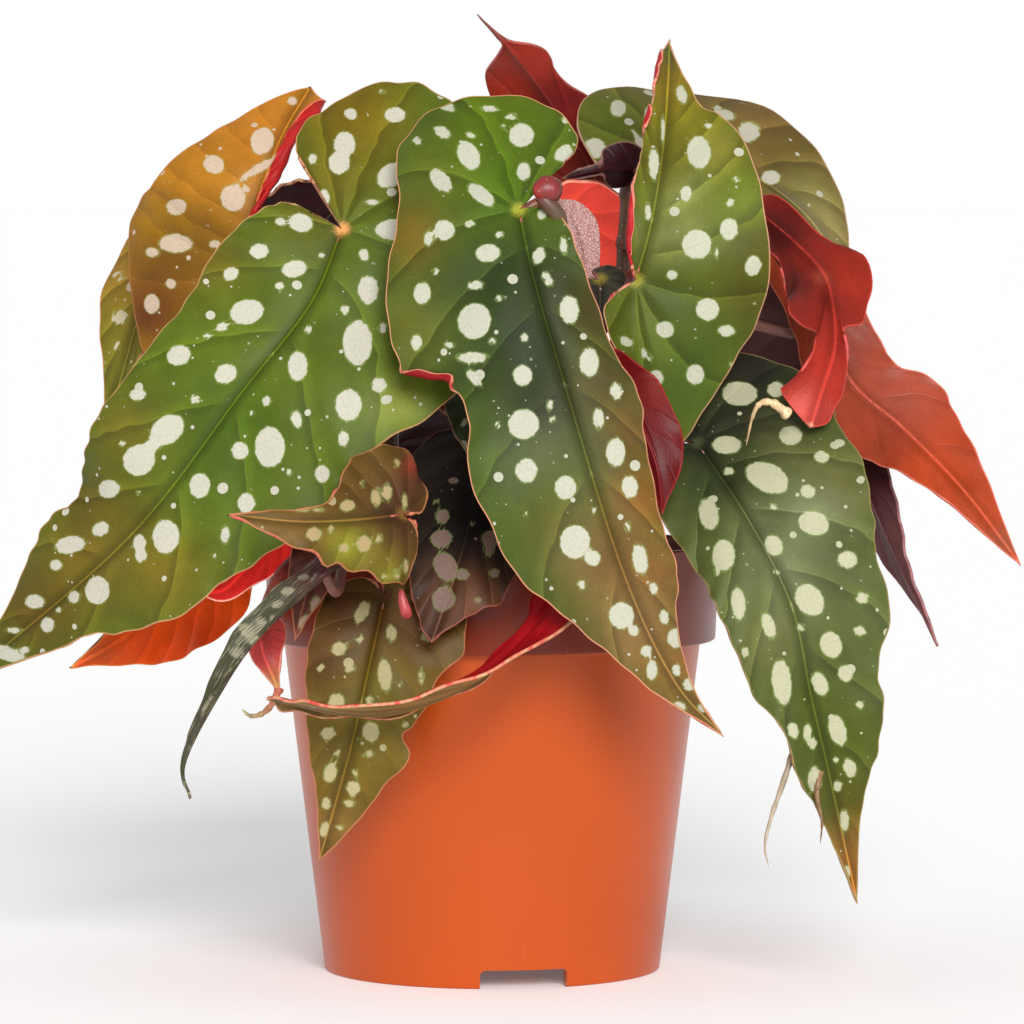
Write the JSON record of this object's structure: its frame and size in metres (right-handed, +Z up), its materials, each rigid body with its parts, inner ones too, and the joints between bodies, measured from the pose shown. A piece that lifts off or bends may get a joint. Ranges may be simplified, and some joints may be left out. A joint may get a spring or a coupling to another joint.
{
  "type": "potted polka dot begonia",
  "caption": "Bushy cane begonia with large pale-spotted wing-shaped leaves, red underneath, in a round tapered plastic nursery pot.",
  "frame": {"origin": "centre of the bounding box at the surface the pot stands on, within a millimetre or two of the pot's axis", "axes": "+X to the right as the front is seen, +Y to the back, +Z up"},
  "size_m": [0.2763, 0.2149, 0.2543],
  "materials": {
    "pot": "satin moulded plastic",
    "soil": "dark crumbly potting mix",
    "cane": "smooth brown cane with rings",
    "green_leaf": "waxy leaf",
    "dark_leaf": "waxy leaf",
    "bronze_leaf": "waxy leaf",
    "orange_leaf": "waxy leaf",
    "red_leaf": "waxy leaf",
    "maroon_leaf": "waxy leaf",
    "dry_leaf": "papery dried leaf"
  },
  "bodies": {
    "root": {"pot": "pot", "soil": "soil", "cane_left": "cane", "cane_low": "cane", "cane_middle": "cane", "cane_right": "cane", "cane_back": "cane", "leaf_front_left": "green_leaf", "leaf_front_center": "green_leaf", "leaf_right_upright": "green_leaf", "leaf_upper_left": "orange_leaf", "leaf_far_left": "bronze_leaf", "leaf_top_red": "red_leaf", "leaf_top_back": "bronze_leaf", "leaf_right_curl": "red_leaf", "leaf_right_long": "red_leaf", "leaf_right_hanging": "dark_leaf", "leaf_right_edge": "maroon_leaf", "leaf_center_red": "red_leaf", "leaf_center_green": "dark_leaf", "leaf_low_olive": "bronze_leaf", "leaf_low_dark": "dark_leaf", "leaf_over_rim": "dark_leaf", "leaf_strap": "red_leaf", "leaf_low_red": "red_leaf", "leaf_rim_red": "red_leaf", "leaf_dry": "dry_leaf", "leaf_small_red": "red_leaf", "leaf_rim_brown": "bronze_leaf", "leaf_young": "maroon_leaf", "leaf_dark_middle": "dark_leaf", "stipule": "dry_leaf", "leaf_back_red": "green_leaf", "leaf_back_left": "green_leaf", "leaf_back_center": "dark_leaf", "leaf_back_right": "green_leaf", "leaf_side_left": "green_leaf", "leaf_side_right": "dark_leaf", "leaf_back_low": "bronze_leaf"}
  },
  "joints": []
}
